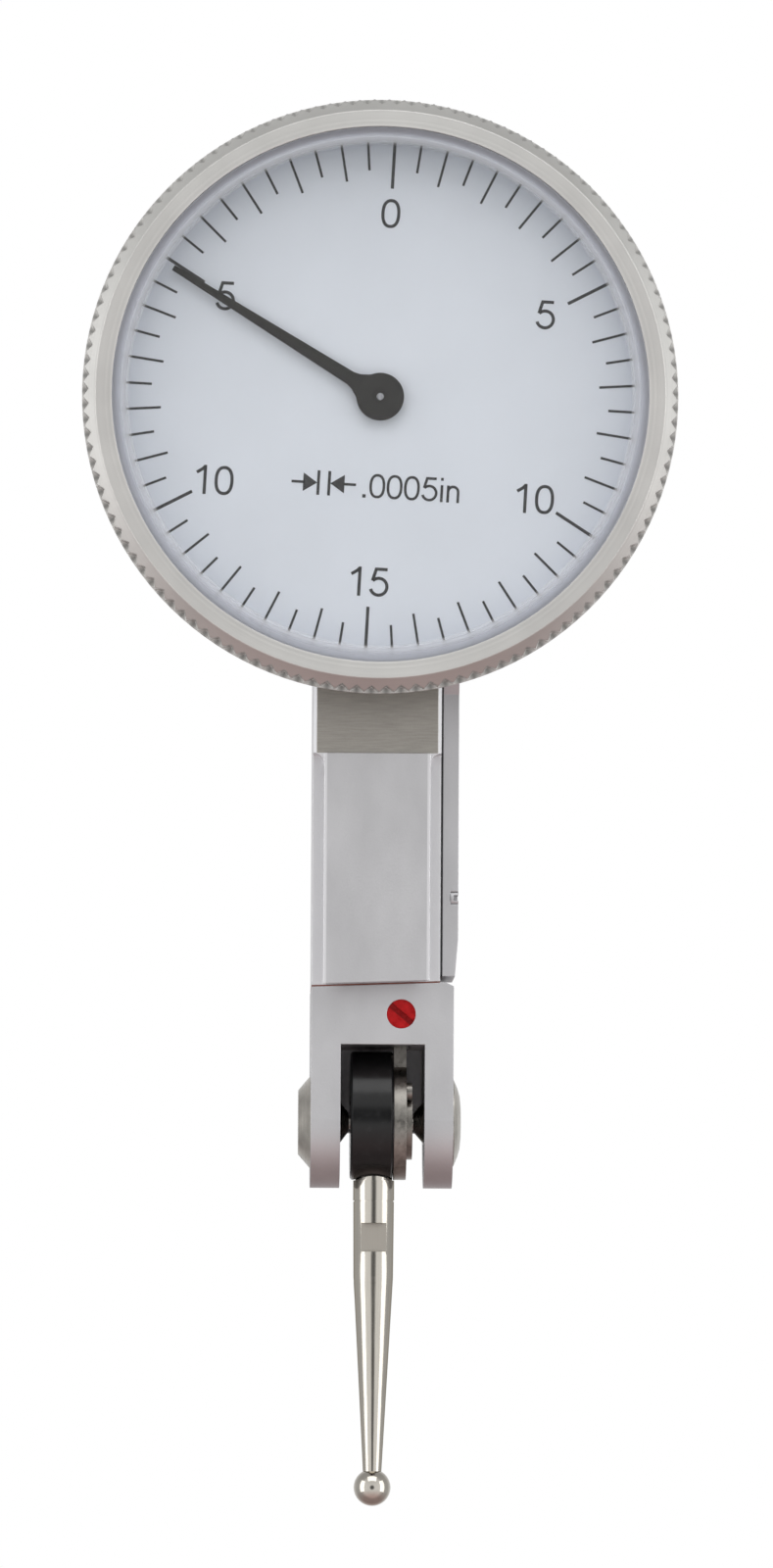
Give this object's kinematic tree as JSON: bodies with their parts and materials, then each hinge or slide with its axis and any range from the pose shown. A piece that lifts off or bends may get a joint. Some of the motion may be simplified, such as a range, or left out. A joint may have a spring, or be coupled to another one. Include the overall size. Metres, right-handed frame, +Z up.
{
  "type": "dial test indicator",
  "caption": "Lever dial test indicator: serrated bezel, white balanced dial, black pointer, dovetailed steel body, and a forked foot with a swivelling ball-tipped stylus.",
  "frame": {"origin": "centre of the front dovetail's face, by which the indicator is held", "axes": "+Z up the body from the stylus to the dial, +X to the flank with the side cover, the dial faces -Y"},
  "size_m": [0.032, 0.014, 0.0754],
  "materials": {
    "satin_steel": "satin ground steel",
    "satin_chrome": "matt chrome plating",
    "bright_steel": "turned steel",
    "plate_steel": "dull nickel",
    "spring_steel": "polished spring steel",
    "chrome": "bright nickel plating",
    "ball_chrome": "polished hard metal",
    "black_steel": "gloss black",
    "black_paint": "matt black",
    "red_lacquer": "sealing lacquer",
    "copper_shim": "dull copper",
    "brass": "lapped brass",
    "gasket": "matt",
    "clear_crystal": "clear polished",
    "ring_paint": "matt grey",
    "dial_enamel": "matt white"
  },
  "bodies": {
    "housing": {"body_frame": "satin_steel", "side_cover": "satin_steel", "cover_gasket": "gasket", "cover_screws": "bright_steel", "fork_block": "satin_steel", "fork_shim": "copper_shim", "lock_screw": "red_lacquer", "tongue_screw": "bright_steel", "pivot_screw_left": "bright_steel", "pivot_screw_right": "bright_steel", "movement_bridge": "brass", "bridge_pillars": "brass", "bridge_screws": "bright_steel", "centre_cock": "brass", "cock_screw": "bright_steel", "centre_bush": "brass", "hairspring": "spring_steel", "hairspring_stud": "brass", "dial_case": "satin_steel", "case_screws": "bright_steel", "bezel_spring": "spring_steel"},
    "lever": {"lever_plate": "plate_steel", "lever_stop": "black_steel", "lever_nut": "plate_steel", "contact_pins": "spring_steel", "pivot_axle": "spring_steel", "friction_washer": "spring_steel"},
    "stylus_arm": {"stylus_hub": "black_steel", "stylus_collar": "chrome", "stylus": "chrome", "stylus_ball": "ball_chrome"},
    "sector": {"sector_arbor": "spring_steel", "sector_gear": "brass", "reversing_arm": "brass"},
    "crown": {"crown_arbor": "spring_steel", "crown_wheel": "brass", "hairspring_collet": "brass"},
    "hand": {"centre_arbor": "spring_steel", "pointer": "black_paint", "pointer_boss": "brass"},
    "dial_head": {"bezel": "satin_chrome", "crystal": "clear_crystal", "crystal_ring": "ring_paint", "dial_plate": "dial_enamel", "dial_ring": "spring_steel"}
  },
  "joints": [
    {"name": "lever_swing", "type": "hinge", "parent": "housing", "child": "lever", "pos_m": [0, 0.005, -0.01354], "axis": [1, 0, 0], "range_deg": [-2.3, 2.3], "stiffness_Nm_per_rad": 0.09},
    {"name": "stylus_set", "type": "hinge", "parent": "lever", "child": "stylus_arm", "pos_m": [0, 0.005, -0.01354], "axis": [1, 0, 0], "range_deg": [-110, 60]},
    {"name": "sector_swing", "type": "hinge", "parent": "housing", "child": "sector", "pos_m": [0, 0.005, 0.00716], "axis": [1, 0, 0], "range_deg": [-4.65, 4.65]},
    {"name": "crown_spin", "type": "hinge", "parent": "housing", "child": "crown", "pos_m": [0, 0.005, 0.02516], "axis": [1, 0, 0], "range_deg": [-78.5, 78.5]},
    {"name": "hand_turn", "type": "hinge", "parent": "housing", "child": "hand", "pos_m": [0, 0, 0.02516], "axis": [0, 1, 0], "range_deg": [-374, 374]},
    {"name": "bezel_turn", "type": "hinge", "parent": "housing", "child": "dial_head", "pos_m": [0, 0, 0.02516], "axis": [0, 1, 0], "continuous": true}
  ],
  "couplings": [
    {"joint": "sector_swing", "follows": "lever_swing", "ratio": -2},
    {"joint": "crown_spin", "follows": "lever_swing", "ratio": 34},
    {"joint": "hand_turn", "follows": "lever_swing", "ratio": 162.44}
  ]
}
